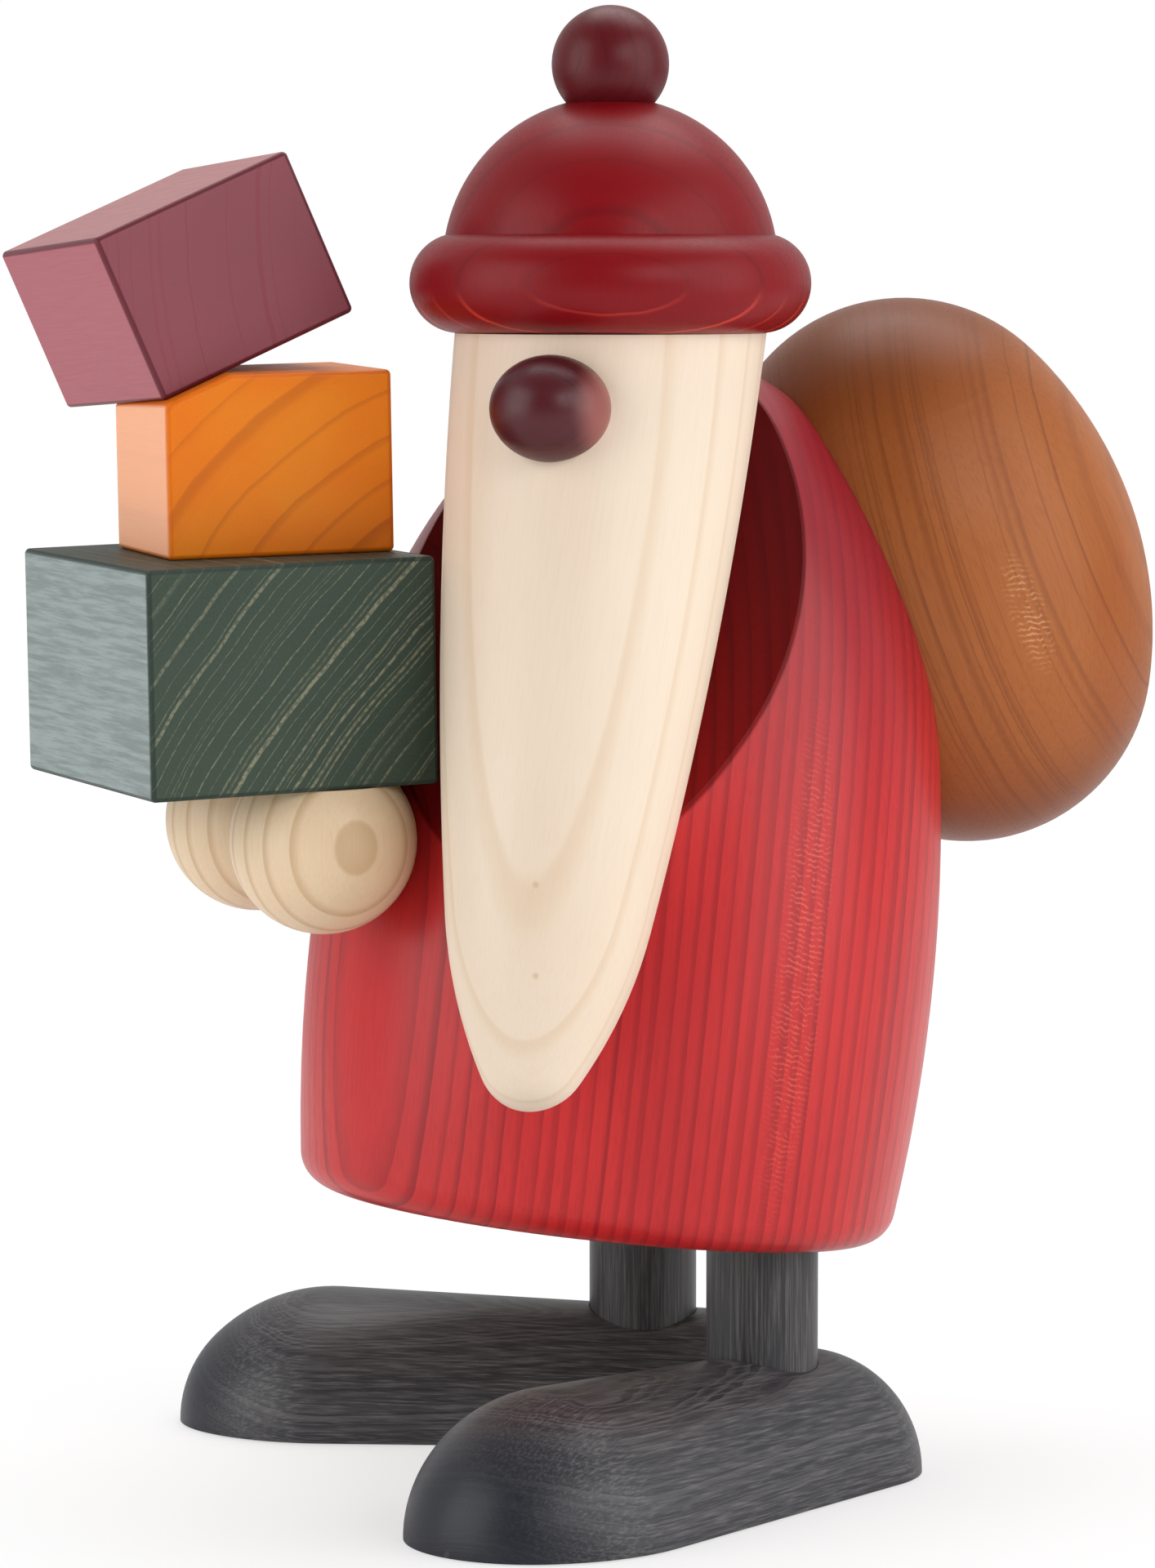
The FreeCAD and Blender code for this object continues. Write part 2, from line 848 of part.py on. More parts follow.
def sack_form():
    """A blunt turned egg, the sack before its seat is hollowed."""
    radius = size("sack_radius")
    half = size("sack_half_length")
    end_bend = size("sack_end_bend")
    side_bend = (radius**2 + (half - end_bend) ** 2 - end_bend**2) / (2 * (radius - end_bend))
    end_turn = math.degrees(math.atan2(side_bend - radius, half - end_bend))
    upper = smooth_side(half, 1, [end_bend, side_bend], [end_turn], 0)
    lower = [
        ("arc", (upper[1][1][0], -upper[1][1][1]), (upper[0][2][0], -upper[0][2][1])),
        ("dome", (upper[0][1][0], -upper[0][1][1]), (0, "-sack_half_length")),
    ]
    form = turned(
        "sack_form",
        "YZ_Plane",
        "V_Axis",
        (0, "sack_half_length"),
        [*upper, *lower, ("line", (0, "sack_half_length"))],
    )
    foot = COAT_FRAME.Base
    form.Placement = Placement(
        Vector(foot.x, foot.y + size("sack_back"), size("sack_height")),
        turned_about(X_AXIS, size("sack_slope_angle")),
    )
    return form


# The two dowels behind the sack stand this far up its seat on the coat's back
SACK_DOWEL_SHARES = {"upper": 0.7503, "lower": 0.34012}


def sack_seat_levels():
    """The lowest and highest levels at which the sack can lie against the coat."""
    slope = math.radians(size("sack_slope_angle"))
    sack_rise = size("sack_half_length") * math.cos(slope)
    coat_rise = size("coat_height") * COAT_FRAME.Rotation.multVec(Z_AXIS).z
    low = size("sack_height") - sack_rise
    high = min(size("sack_height") + sack_rise, COAT_FRAME.Base.z + coat_rise)
    return low, high


def way_out(form, start, direction):
    """The point where a straight line from inside a form leaves it."""
    reach = 2 * size("overrun")
    inside = form.Shape.common(Part.makeLine(start, start + direction * reach))
    return max((vertex.Point for vertex in inside.Vertexes), key=lambda p: (p - start).Length)


# Assembly


def build():
    """Make every piece and return them as node name to object."""
    nodes = {}
    coat = coat_form()
    DOC.recompute()
    coat_holes = [chamber_form(), smoke_hole(), face_waste()]

    plug_holes = [air_hole("front_air_hole", -1), air_hole("rear_air_hole", 1)]
    for name, side in (("left", 1), ("right", -1)):
        nodes[name + "_leg"], hole = leg(name + "_leg", side)
        nodes[name + "_shoe"] = shoe(name + "_shoe", side, hole)
        plug_holes.append(hole)
    nodes["incense_tray"] = incense_tray()
    nodes["tray_pin"], hole = tray_pin()
    plug_holes.append(hole)
    nodes["base_plug"] = base_plug(plug_holes)

    head = head_form()
    DOC.recompute()
    head_holes = [
        waste_block("head_top_waste", Placement(CAP_POINT, Rotation())),
        waste_block("head_back_waste", Placement(CUT_POINT, along(-CUT_NORMAL))),
    ]
    for name in ("upper", "lower"):
        fall = size(f"{name}_head_dowel_drop") / math.cos(math.radians(size("cut_slope_angle")))
        place = Placement(CUT_POINT + CUT_DOWN * fall, along(CUT_NORMAL))
        label = name + "_head_dowel"
        nodes[label], hole = dowel(label, "dowel_radius", "dowel_length", place)
        head_holes.append(hole)
        coat_holes.append(hole)

    nose_level = CAP_POINT - Z_AXIS * size("nose_drop")
    cheek = way_out(head, nose_level, FACE_AHEAD)
    place = Placement(cheek, along(FACE_AHEAD))
    nodes["nose_dowel"], hole = dowel(
        "nose_dowel", "small_dowel_radius", "small_dowel_length", place
    )
    head_holes.append(hole)
    nodes["nose"] = cut_away("nose", nose_form(cheek), [head, hole])

    place = Placement(CAP_POINT, Rotation())
    nodes["cap_dowel"], cap_hole = dowel("cap_dowel", "dowel_radius", "dowel_length", place)
    head_holes.append(cap_hole)
    nodes["head"] = cut_away("head", head, head_holes)

    dome_top = Placement(CAP_POINT + Z_AXIS * cap_dome_top(), FACE_TURN)
    nodes["bobble_dowel"], hole = dowel(
        "bobble_dowel", "small_dowel_radius", "small_dowel_length", dome_top
    )
    nodes["cap"] = cut_away("cap", cap_form(), [cap_hole, hole])
    sunk = math.sqrt(size("bobble_radius") ** 2 - size("bobble_seat_radius") ** 2)
    middle = Placement(dome_top.Base + Z_AXIS * sunk, FACE_TURN)
    nodes["bobble"] = cut_away(
        "bobble", ball("bobble_ball", "bobble_radius", -sunk, middle), [hole]
    )

    for name, side in (("left", 1), ("right", -1)):
        centre = hand_centre(side)
        axis_point = coat_axis_at(centre.z)
        outward = (centre - axis_point).normalize()
        seat = way_out(coat, axis_point, outward)
        label = name + "_hand_dowel"
        nodes[label], hole = dowel(
            label, "small_dowel_radius", "small_dowel_length", Placement(seat, along(outward))
        )
        coat_holes.append(hole)
        place = Placement(centre, STACK_FRAME.Rotation)
        form = ball(name + "_hand_ball", "hand_radius", size("hand_flat_rise"), place)
        nodes[name + "_hand"] = cut_away(name + "_hand", form, [coat, hole])

    nodes["lower_present_dowel"], low_hole = dowel(
        "lower_present_dowel", "small_dowel_radius", "small_dowel_length", ORANGE_FRAME
    )
    green = softened("green_block", block("green_sawn", "green", STACK_FRAME))
    nodes["green_present"] = cut_away("green_present", green, [coat, low_hole])

    facet_length = (size("orange_height") - size("orange_front_height")) / math.sin(
        math.radians(size("red_slope_angle"))
    )
    facet_middle = FACET_FRAME.multiply(shifted(0, facet_length / 2, 0))
    nodes["upper_present_dowel"], high_hole = dowel(
        "upper_present_dowel", "small_dowel_radius", "small_dowel_length", facet_middle
    )
    orange = block("orange_sawn", "orange", ORANGE_FRAME)
    orange = cut_away("orange_slanted", orange, [waste_block("facet_waste", FACET_FRAME)])
    orange = softened("orange_block", orange)
    nodes["orange_present"] = cut_away("orange_present", orange, [low_hole, high_hole])

    red_middle = Vector(-size("red_aside"), size("red_depth") / 2 + size("red_set_back"), 0)
    red_place = FACET_FRAME.multiply(Placement(RED_TURN.multVec(red_middle), RED_TURN))
    red = softened("red_block", block("red_sawn", "red", red_place))
    nodes["red_present"] = cut_away("red_present", red, [high_hole])

    sack = sack_form()
    DOC.recompute()
    sack_holes = [coat]
    seat_low, seat_high = sack_seat_levels()
    for name, share in SACK_DOWEL_SHARES.items():
        axis_point = coat_axis_at(seat_low + share * (seat_high - seat_low))
        seat = way_out(coat, axis_point, Y_AXIS)
        label = name + "_sack_dowel"
        place = Placement(seat, along(Y_AXIS))
        nodes[label], hole = dowel(label, "dowel_radius", "dowel_length", place)
        coat_holes.append(hole)
        sack_holes.append(hole)
    nodes["sack"] = cut_away("sack", sack, sack_holes)

    nodes["coat"] = cut_away("coat", coat, coat_holes)
    return nodes


def check(nodes):
    """Stop if any object failed or any piece is empty or invalid."""
    DOC.recompute()
    for item in DOC.Objects:
        if "Invalid" in item.State or "Error" in item.State:
            raise ValueError(f"{item.Label} failed: {item.State}")
    for name, item in nodes.items():
        if item.Shape.isNull() or not item.Shape.isValid():
            raise ValueError(f"{name} has no valid shape")


def write(nodes):
    """Write each piece under its node's name."""
    os.makedirs("parts", exist_ok=True)
    for name, item in nodes.items():
        item.Shape.exportStep(f"parts/{name}.step")
        print(name, len(item.Shape.Solids), round(item.Shape.Volume, 1))


NODES = build()
check(NODES)
write(NODES)
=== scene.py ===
import math

import bpy
import numpy as np
from mathutils import Matrix, Vector


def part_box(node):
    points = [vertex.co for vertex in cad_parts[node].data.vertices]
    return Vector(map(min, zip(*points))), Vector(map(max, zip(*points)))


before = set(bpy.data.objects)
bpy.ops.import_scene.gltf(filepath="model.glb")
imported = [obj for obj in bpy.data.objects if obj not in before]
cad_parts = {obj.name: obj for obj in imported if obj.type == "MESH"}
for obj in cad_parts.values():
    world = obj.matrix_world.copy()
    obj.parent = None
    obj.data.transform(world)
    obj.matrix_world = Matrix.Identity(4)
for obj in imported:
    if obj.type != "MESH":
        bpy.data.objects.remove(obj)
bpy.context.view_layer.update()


# Camera
# It looks from azimuth 67.5 degrees, a little from above, at the level of the face.
VIEW_TURN = math.radians(67.5)
VIEW_FALL = math.radians(4.853)
UP = Vector((0, 0, 1))
AHEAD = Vector((-math.sin(VIEW_TURN), math.cos(VIEW_TURN), 0))
ASIDE = Vector((math.cos(VIEW_TURN), math.sin(VIEW_TURN), 0))
AIM = Vector((0.0194, -0.0139, 0.0))
CAMERA_AWAY = 0.772
CAMERA_HEIGHT = 0.157
FOCAL_LENGTH_IN_FRAMES = 7454 / 1920
scene = bpy.context.scene
camera_data = bpy.data.cameras.new("camera")
camera_data.sensor_width = 36.0
camera_data.lens = FOCAL_LENGTH_IN_FRAMES * camera_data.sensor_width
camera_data.clip_start = 0.05
camera_data.clip_end = 30.0
camera = bpy.data.objects.new("camera", camera_data)
scene.collection.objects.link(camera)
camera.location = AIM - AHEAD * CAMERA_AWAY + UP * CAMERA_HEIGHT
looking = AHEAD * math.cos(VIEW_FALL) - UP * math.sin(VIEW_FALL)
camera.rotation_euler = looking.to_track_quat("-Z", "Y").to_euler()
scene.camera = camera


# Studio floor and light
# A white table that runs into a lit white backdrop, in a dim room, with a large soft lamp on
# each side, one high at the back and a small one by the camera. They leave soft sheens.
FLOOR_RADIUS = 6.0
FLOOR_LEVEL = -0.0002
FLOOR_COLOUR = (0.90, 0.90, 0.90, 1)
SHADOW_REACH = (0.05, 0.15)
LEAST_GLOW = 0.6
BACKDROP_LIMITS = (-0.3, 0.5)
ROOM_LIGHT = 0.10
BACKDROP_LIGHT = 0.70
WHITE = (1, 1, 1, 1)
BLACK = (0, 0, 0, 1)
LAMPS_AIM = AIM + UP * 0.1


def disc(name, radius, height, rings, spokes):
    """A flat round sheet: rings of points at growing radius, joined in quads to the centre."""
    ring = np.linspace(0, 1, rings + 1)[1:, None] ** 2 * radius
    turn = np.linspace(0, 2 * np.pi, spokes, endpoint=False)[None, :]
    points = np.stack([ring * np.cos(turn), ring * np.sin(turn), 0 * ring * turn + height], -1)
    points = np.concatenate([points.reshape(-1, 3), [[0, 0, height]]])
    step = np.arange(spokes)
    after = (step + 1) % spokes
    low = np.arange(rings - 1)[:, None] * spokes
    high = low + spokes
    quads = np.stack([low + step, high + step, high + after, low + after], -1).reshape(-1, 4)
    fan = np.stack([np.full(spokes, rings * spokes), step, after], -1)
    mesh = bpy.data.meshes.new(name)
    mesh.from_pydata(points.tolist(), [], quads.tolist() + fan.tolist())
    sheet = bpy.data.objects.new(name, mesh)
    scene.collection.objects.link(sheet)
    return sheet


def shader(name, **values):
    """A new material and its main shader, with the constants set on the shader's own sockets."""
    material = bpy.data.materials.new(name)
    material.use_nodes = True
    main = material.node_tree.nodes["Principled BSDF"]
    for socket, value in values.items():
        main.inputs[socket.replace("_", " ")].default_value = value
    return material, main


class Tree:
    """A node tree that is filled step by step; each step returns the new node's output."""

    def __init__(self, tree):
        self.tree = tree

    def add(self, kind, **settings):
        """A node with its settings."""
        node = self.tree.nodes.new(kind)
        for name, value in settings.items():
            setattr(node, name, value)
        return node

    def put(self, socket, value):
        """Give a socket a link where the value is another socket, and else a number."""
        if isinstance(value, bpy.types.NodeSocket):
            self.tree.links.new(value, socket)
        else:
            socket.default_value = value

    def here(self, kind="Object"):
        """A coordinate of the point being shaded, such as its place in the object."""
        return self.add("ShaderNodeTexCoord").outputs[kind]

    def math(self, operation, *values):
        """One sum on numbers."""
        node = self.add("ShaderNodeMath", operation=operation)
        for socket, value in zip(node.inputs, values):
            self.put(socket, value)
        return node.outputs[0]

    def vector(self, operation, *values):
        """One sum on vectors; the second output is the one that holds a single number."""
        node = self.add("ShaderNodeVectorMath", operation=operation)
        for socket, value in zip(node.inputs, values):
            self.put(socket, value)
        return node.outputs[1 if operation in ("LENGTH", "DOT_PRODUCT", "DISTANCE") else 0]

    def noise(self, place, stretch, scale=1.0, detail=2.0, roughness=0.5):
        """Smooth noise from 0 to 1 over a place, each part of it first multiplied by a number."""
        node = self.add("ShaderNodeTexNoise")
        self.put(node.inputs["Vector"], self.vector("MULTIPLY", place, stretch))
        node.inputs["Scale"].default_value = scale
        node.inputs["Detail"].default_value = detail
        node.inputs["Roughness"].default_value = roughness
        return node.outputs[0]

    def step(self, value, low, high, start=0.0, end=1.0):
        """A smooth step of a number from one limit to the other."""
        node = self.add("ShaderNodeMapRange", interpolation_type="SMOOTHSTEP")
        for name, number in (
            ("Value", value),
            ("From Min", low),
            ("From Max", high),
            ("To Min", start),
            ("To Max", end),
        ):
            self.put(node.inputs[name], number)
        return node.outputs[0]

    def blend(self, share, first, second, kind="MIX"):
        """Two colours blended by a share."""
        node = self.add("ShaderNodeMix", data_type="RGBA", blend_type=kind)
        self.put(node.inputs[0], share)
        self.put(node.inputs[6], first)
        self.put(node.inputs[7], second)
        return node.outputs[2]

    def bump(self, height, strength, distance, normal=None):
        """A normal from a height, laid over the normal that is given."""
        node = self.add("ShaderNodeBump")
        if normal is not None:
            self.put(node.inputs["Normal"], normal)
        self.put(node.inputs["Height"], height)
        node.inputs["Strength"].default_value = strength
        node.inputs["Distance"].default_value = distance
        return node.outputs["Normal"]


floor = disc("studio_floor", FLOOR_RADIUS, FLOOR_LEVEL, rings=8, spokes=64)
floor_paint, floor_main = shader(
    "floor_paint", Roughness=0.8, Specular_IOR_Level=0.1, Emission_Color=WHITE
)
paint = Tree(floor_paint.node_tree)
away = paint.vector("LENGTH", paint.here())
seen = paint.add("ShaderNodeLightPath").outputs["Is Camera Ray"]
glow = paint.math("MULTIPLY", paint.step(away, *SHADOW_REACH, LEAST_GLOW, 1.0), seen)
paint.put(floor_main.inputs["Emission Strength"], glow)
paint.put(floor_main.inputs["Base Color"], paint.blend(glow, FLOOR_COLOUR, BLACK))
floor.data.materials.append(floor_paint)

world = bpy.data.worlds.new("studio")
scene.world = world
world.use_nodes = True
room = Tree(world.node_tree)
behind = room.vector("DOT_PRODUCT", room.here("Generated"), AHEAD)
backdrop = room.step(behind, *BACKDROP_LIMITS, ROOM_LIGHT, BACKDROP_LIGHT)
seen = room.add("ShaderNodeLightPath").outputs["Is Camera Ray"]
sky = world.node_tree.nodes["Background"]
sky.inputs["Color"].default_value = WHITE
room.put(sky.inputs["Strength"], room.math("MAXIMUM", backdrop, seen))
scene.view_settings.view_transform = "Standard"


def lamp(name, place, aim, wide, tall, power):
    """A rectangular soft lamp at a place, turned to its aim."""
    light = bpy.data.lights.new(name, "AREA")
    light.shape = "RECTANGLE"
    light.size = wide
    light.size_y = tall
    light.energy = power
    holder = bpy.data.objects.new(name, light)
    scene.collection.objects.link(holder)
    holder.location = place
    holder.rotation_euler = (Vector(aim) - Vector(place)).to_track_quat("-Z", "Y").to_euler()


for name, aside, near, above, wide, tall, power in (
    ("left_lamp", -0.75, 0.36, 0.14, 0.70, 1.10, 6.6),
    ("right_lamp", 0.77, 0.34, 0.18, 0.70, 1.10, 6.1),
    ("top_lamp", 0.10, -0.30, 0.80, 0.80, 0.60, 4.4),
    ("front_lamp", 0.33, 0.62, 0.33, 0.34, 0.34, 1.5),
):
    place = LAMPS_AIM - AHEAD * near + ASIDE * aside + UP * above
    lamp(name, place, LAMPS_AIM, wide, tall, power)


# Shoes and legs
# Two long half-round shoes, turned as one form each and sawn flat underneath, with straight
# round legs glued in. Charcoal stain lets a grey grain through; the ends drink more of it.
SHOE_SPLAY = math.radians(28.5)
SHOE_PITH_APART = 0.030
SHOE_PITH_BELOW = 0.030
LEG_PITH = Vector((0.0, 0.060, 0.0))
INKY = (0.012, 0.014, 0.022)

# Like every wooden piece, they are stained and lacquered over a pale close-grained wood, whose
# growth rings are cylinders round a pith line. Each piece shows where it cuts them.
MM = 0.001
LATE_PEAK = 0.93
CLOUD_LIMITS = (0.35, 0.68)
STREAK_LIMITS = (0.42, 0.75)
GRAIN_DEPTH = 0.0005


def rings_group():
    """The pattern of cut growth rings.

    The ring number at a point is its distance from the pith line, warped by soft noise, over
    the ring width. Late wood darkens slowly through a ring and stops at once at its end.
    """
    group = bpy.data.node_groups.new("growth_rings", "ShaderNodeTree")
    group.interface.new_socket("Place", in_out="INPUT", socket_type="NodeSocketVector")
    for name in ("Ring Width", "Wander", "Late Share", "Curl", "Shift", "Bunching", "Evenness"):
        group.interface.new_socket(name, in_out="INPUT", socket_type="NodeSocketFloat")
    for name in ("Rings", "Fibre", "Cloud"):
        group.interface.new_socket(name, in_out="OUTPUT", socket_type="NodeSocketFloat")
    t = Tree(group)
    source = t.add("NodeGroupInput").outputs
    sink = t.add("NodeGroupOutput").inputs
    place = source["Place"]
    slow = t.noise(place, (0.030, 0.030, 0.010), detail=1.0)
    quick = t.noise(place, (0.20, 0.20, 0.035))
    ripple = t.noise(place, (0.05, 0.05, 0.75), detail=1.0)
    warp = t.math("MULTIPLY", t.math("SUBTRACT", slow, 0.5), 2.4)
    warp = t.math("MULTIPLY_ADD", t.math("SUBTRACT", quick, 0.5), 0.45, warp)
    radius = t.vector("LENGTH", t.vector("MULTIPLY", place, (1.0, 1.0, 0.0)))
    radius = t.math("MULTIPLY_ADD", warp, source["Wander"], radius)
    radius = t.math("MULTIPLY_ADD", t.math("SUBTRACT", ripple, 0.5), source["Curl"], radius)
    count = t.math("DIVIDE", radius, source["Ring Width"])
    bunch = t.add("ShaderNodeTexNoise", noise_dimensions="1D")
    t.put(bunch.inputs["W"], t.math("MULTIPLY", count, 0.31))
    bunch.inputs["Detail"].default_value = 1.0
    count = t.math("MULTIPLY_ADD", bunch.outputs[0], source["Bunching"], count)
    count = t.math("ADD", count, source["Shift"])
    part = t.math("FRACT", count)
    chance = t.add("ShaderNodeTexWhiteNoise", noise_dimensions="1D")
    t.put(chance.inputs["W"], t.math("FLOOR", count))
    strength = t.math("MULTIPLY_ADD", chance.outputs[0], 0.75, 0.25)
    strength = t.math("MAXIMUM", strength, source["Evenness"])
    late = t.step(part, t.math("SUBTRACT", 1.0, source["Late Share"]), LATE_PEAK)
    early = t.step(part, LATE_PEAK + 0.01, 1.0, 1.0, 0.0)
    t.put(sink["Rings"], t.math("MULTIPLY", t.math("MULTIPLY", late, early), strength))
    t.put(sink["Fibre"], t.noise(place, (3.2, 3.2, 0.10), detail=4.0, roughness=0.65))
    t.put(sink["Cloud"], t.noise(place, (0.055, 0.055, 0.02)))
    return group


GROWTH_RINGS = rings_group()


def turn_of(trunk, towards):
    """The turn whose Z runs along the trunk and whose X lies towards a direction."""
    z = Vector(trunk).normalized()
    x = (Vector(towards) - z * Vector(towards).dot(z)).normalized()
    y = z.cross(x)
    return Matrix((x, y, z)).transposed()


class StainedWood:
    """Lacquered wood: rings, fibres and soft clouds of stain, in three tones of the stain.

    The rings lie round the line through the pith along the trunk. base is the stain's tone,
    late its tone on late wood and fibres, and cloud its tone in the clouds. place is a point
    in the wood, in millimetres across, across and along the trunk.
    """

    def __init__(
        self,
        name,
        pith,
        trunk,
        towards,
        base,
        late,
        cloud,
        ring=2.0,
        wander=2.0,
        late_share=0.5,
        curl=0.0,
        shift=0.0,
        bunching=2.6,
        evenness=0.0,
        late_strength=0.8,
        fibre_strength=0.25,
        cloud_strength=0.35,
        roughness=0.42,
        gloss=0.28,
        coat=0.10,
        coat_roughness=0.30,
        relief=0.05,
    ):
        self.material, self.main = shader(
            name, Specular_IOR_Level=gloss, Coat_Weight=coat, Coat_Roughness=coat_roughness
        )
        t = Tree(self.material.node_tree)
        self.tree = t
        self.pith = Vector(pith)
        self.turn = turn_of(trunk, towards)
        place = t.add("ShaderNodeMapping", vector_type="TEXTURE")
        t.put(place.inputs["Vector"], t.here())
        place.inputs["Location"].default_value = self.pith
        place.inputs["Rotation"].default_value = self.turn.to_euler()
        place.inputs["Scale"].default_value = (MM, MM, MM)
        self.place = place.outputs[0]
        grain = t.add("ShaderNodeGroup")
        grain.node_tree = GROWTH_RINGS
        for socket, value in (
            ("Place", self.place),
            ("Ring Width", ring),
            ("Wander", wander),
            ("Late Share", late_share),
            ("Curl", curl),
            ("Shift", shift),
            ("Bunching", bunching),
            ("Evenness", evenness),
        ):
            t.put(grain.inputs[socket], value)
        self.rings = grain.outputs["Rings"]
        fibre = grain.outputs["Fibre"]
        self.colour = (*base, 1)
        self.tint(t.step(grain.outputs["Cloud"], *CLOUD_LIMITS), cloud_strength, cloud)
        self.tint(self.rings, late_strength, late)
        self.tint(t.step(fibre, *STREAK_LIMITS), fibre_strength, late)
        rough = t.step(fibre, 0.3, 0.8, roughness - 0.05, roughness + 0.08)
        t.put(self.main.inputs["Roughness"], rough)
        height = t.math("MULTIPLY_ADD", fibre, 0.6, t.math("MULTIPLY", self.rings, -0.4))
        self.relief = t.bump(height, relief, GRAIN_DEPTH)
        t.put(self.main.inputs["Normal"], self.relief)

    def tint(self, mask, strength, tone, kind="MIX"):
        """Lay a tone over the wood's colour where the mask is 1, as strongly as given."""
        t = self.tree
        self.colour = t.blend(t.math("MULTIPLY", mask, strength), self.colour, (*tone, 1), kind)
        t.put(self.main.inputs["Base Color"], self.colour)

    def dress(self, *nodes):
        """Put the wood on CAD nodes."""
        dress(self.material, *nodes)


def dress(material, *nodes):
    """Put one material on CAD nodes."""
    for name in nodes:
        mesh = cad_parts[name].data
        mesh.materials.clear()
        mesh.materials.append(material)


def facing(t, direction, low=0.80, high=0.93):
    """1 where the surface looks in a direction, and 0 elsewhere."""
    return t.step(t.vector("DOT_PRODUCT", t.here("Normal"), direction), low, high)


def both_ends(t, direction, low, high):
    """1 where the surface looks along a direction either way, and 0 elsewhere."""
    return t.math("MAXIMUM", facing(t, direction, low, high), facing(t, -direction, low, high))


for side, turn_sign in (("left", 1), ("right", -1)):
    toe = Vector((turn_sign * math.sin(SHOE_SPLAY), -math.cos(SHOE_SPLAY), 0))
    shoe = StainedWood(
        f"{side}_shoe_stain",
        pith=(turn_sign * SHOE_PITH_APART, 0, -SHOE_PITH_BELOW),
        trunk=toe,
        towards=UP,
        base=(0.022, 0.023, 0.028),
        late=(0.190, 0.181, 0.183),
        cloud=(0.040, 0.040, 0.044),
        ring=1.1,
        wander=2.5,
        late_share=0.8,
        late_strength=0.35,
        fibre_strength=0.62,
        cloud_strength=0.7,
        roughness=0.44,
        relief=0.12,
    )
    shoe.tint(both_ends(shoe.tree, toe, 0.25, 0.85), 0.90, INKY)
    shoe.dress(f"{side}_shoe")
legs = StainedWood(
    "leg_stain",
    pith=LEG_PITH,
    trunk=UP,
    towards=(0, 1, 0),
    base=(0.026, 0.027, 0.031),
    late=(0.140, 0.130, 0.126),
    cloud=(0.040, 0.040, 0.044),
    ring=1.0,
    late_strength=0.4,
    fibre_strength=0.8,
    roughness=0.44,
    relief=0.12,
)
legs.dress("left_leg", "right_leg")


# Coat
# The big leaning egg, bored out as a smoke chamber and cut flat on the slant where the head
# sits. Bright red stain on upright rings, deeper at the shoulder and on the unlacquered cut.
COAT_AXIS = Vector((0, 0.11667, 0.99317))
COAT_FOOT = Vector((0, -0.0035, 0.0332))
COAT_PITH_TURN = math.radians(17)
COAT_PITH_AWAY = 0.070
CURLY_STREAK = Vector((0.0400, 0.0081, 0.0700))
STREAK_REACH = (12.0, 4.6, 40.0)
STREAK_PITCH = 0.72
SHOULDER_LIMITS = (0.078, 0.135)
FACE_TURN = math.radians(49.5)
FACE = Vector((math.sin(FACE_TURN), -math.cos(FACE_TURN), 0))
CAP_POINT = Vector((0.02095, -0.01006, 0.1487))
CUT_SLOPE = math.radians(31.4)
CUT_POINT = CAP_POINT - FACE * 0.0245
CUT_OUT = FACE * math.cos(CUT_SLOPE) + UP * math.sin(CUT_SLOPE)
COAT_LACQUER = 0.38


def in_wood(wood, point):
    """A point in the wood's own place, in millimetres: across, across and along the trunk."""
    return wood.turn.transposed() @ (point - wood.pith) / MM


def curly_patch(wood, point, reach, pitch):
    """A lens of rippled grain round a point: fine wavy bands across the trunk, from 0 to 1.

    The bands are the sine of the place along the trunk, which soft noise shifts, over the
    pitch. Patchy noise breaks them up, and they fade towards the reach on every side.
    """
    t = wood.tree
    offset = t.vector("SUBTRACT", wood.place, in_wood(wood, point))
    offset = t.vector("DIVIDE", offset, reach)
    inside = t.step(t.vector("LENGTH", offset), 0.35, 1.0, 1.0, 0.0)
    wander = t.noise(wood.place, (0.9, 0.9, 0.35))
    along = t.vector("DOT_PRODUCT", wood.place, (0.25, 0.25, 1.0))
    turns = t.math("MULTIPLY", t.math("MULTIPLY_ADD", wander, 1.3, along), 2 * math.pi / pitch)
    patchy = t.step(t.noise(wood.place, (1.2, 1.2, 0.5)), 0.35, 0.62)
    bands = t.math("MULTIPLY", t.step(t.math("SINE", turns), 0.0, 0.95), patchy)
    return t.math("MULTIPLY", inside, bands)


coat = StainedWood(
    "coat_stain",
    pith=COAT_FOOT
    + Vector((math.sin(COAT_PITH_TURN), -math.cos(COAT_PITH_TURN), 0)) * COAT_PITH_AWAY,
    trunk=COAT_AXIS,
    towards=(1, 0, 0),
    base=(0.55, 0.021, 0.021),
    late=(0.225, 0.004, 0.009),
    cloud=(0.39, 0.009, 0.015),
    ring=2.1,
    wander=0.8,
    late_share=0.60,
    curl=0.08,
    bunching=0.5,
    evenness=0.60,
    gloss=0.12,
    relief=0.10,
)
t = coat.tree
coat.tint(curly_patch(coat, CURLY_STREAK, STREAK_REACH, STREAK_PITCH), 0.42, (0.80, 0.155, 0.090))
shoulder = t.step(t.vector("DOT_PRODUCT", t.here(), COAT_AXIS), *SHOULDER_LIMITS)
coat.tint(shoulder, 0.80, (0.185, 0.008, 0.018))
beyond = t.math("SUBTRACT", t.vector("DOT_PRODUCT", t.here(), CUT_OUT), CUT_POINT.dot(CUT_OUT))
on_cut = t.step(beyond, -0.6 * MM, -0.2 * MM)
coat.tint(on_cut, 0.90, (0.34, 0.05, 0.06), "MULTIPLY")
t.put(coat.main.inputs["Coat Weight"], t.step(on_cut, 0.0, 1.0, COAT_LACQUER, 0.0))
coat.dress("coat")


